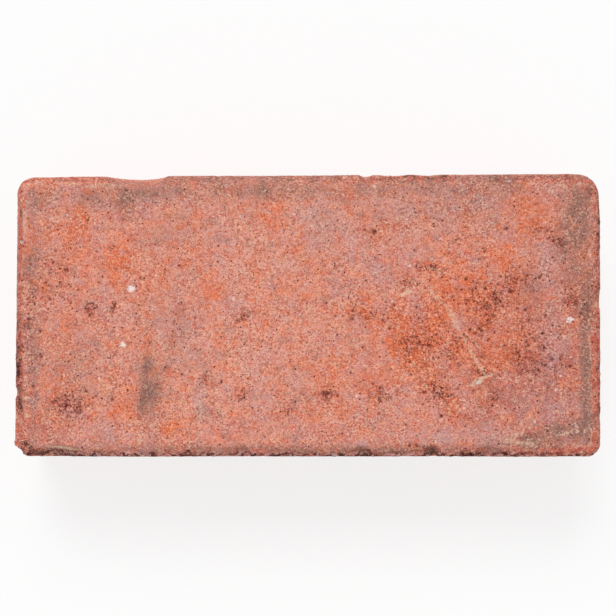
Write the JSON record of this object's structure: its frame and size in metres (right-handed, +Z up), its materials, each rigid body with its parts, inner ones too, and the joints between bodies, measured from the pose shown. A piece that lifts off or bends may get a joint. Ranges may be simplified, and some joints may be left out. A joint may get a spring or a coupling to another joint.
{
  "type": "clay brick",
  "caption": "Solid rectangular fired clay brick with flat bed faces and worn, chipped arrises.",
  "frame": {"origin": "centre of the bottom bed face, on the surface that the brick lies on", "axes": "+X along the brick's length, +Y across its width from the front side to the back side, +Z up through its thickness"},
  "size_m": [0.2499, 0.1209, 0.065],
  "materials": {
    "fired_clay": "matte, porous, sand-faced fired clay"
  },
  "bodies": {
    "root": {"brick": "fired_clay"}
  },
  "joints": []
}
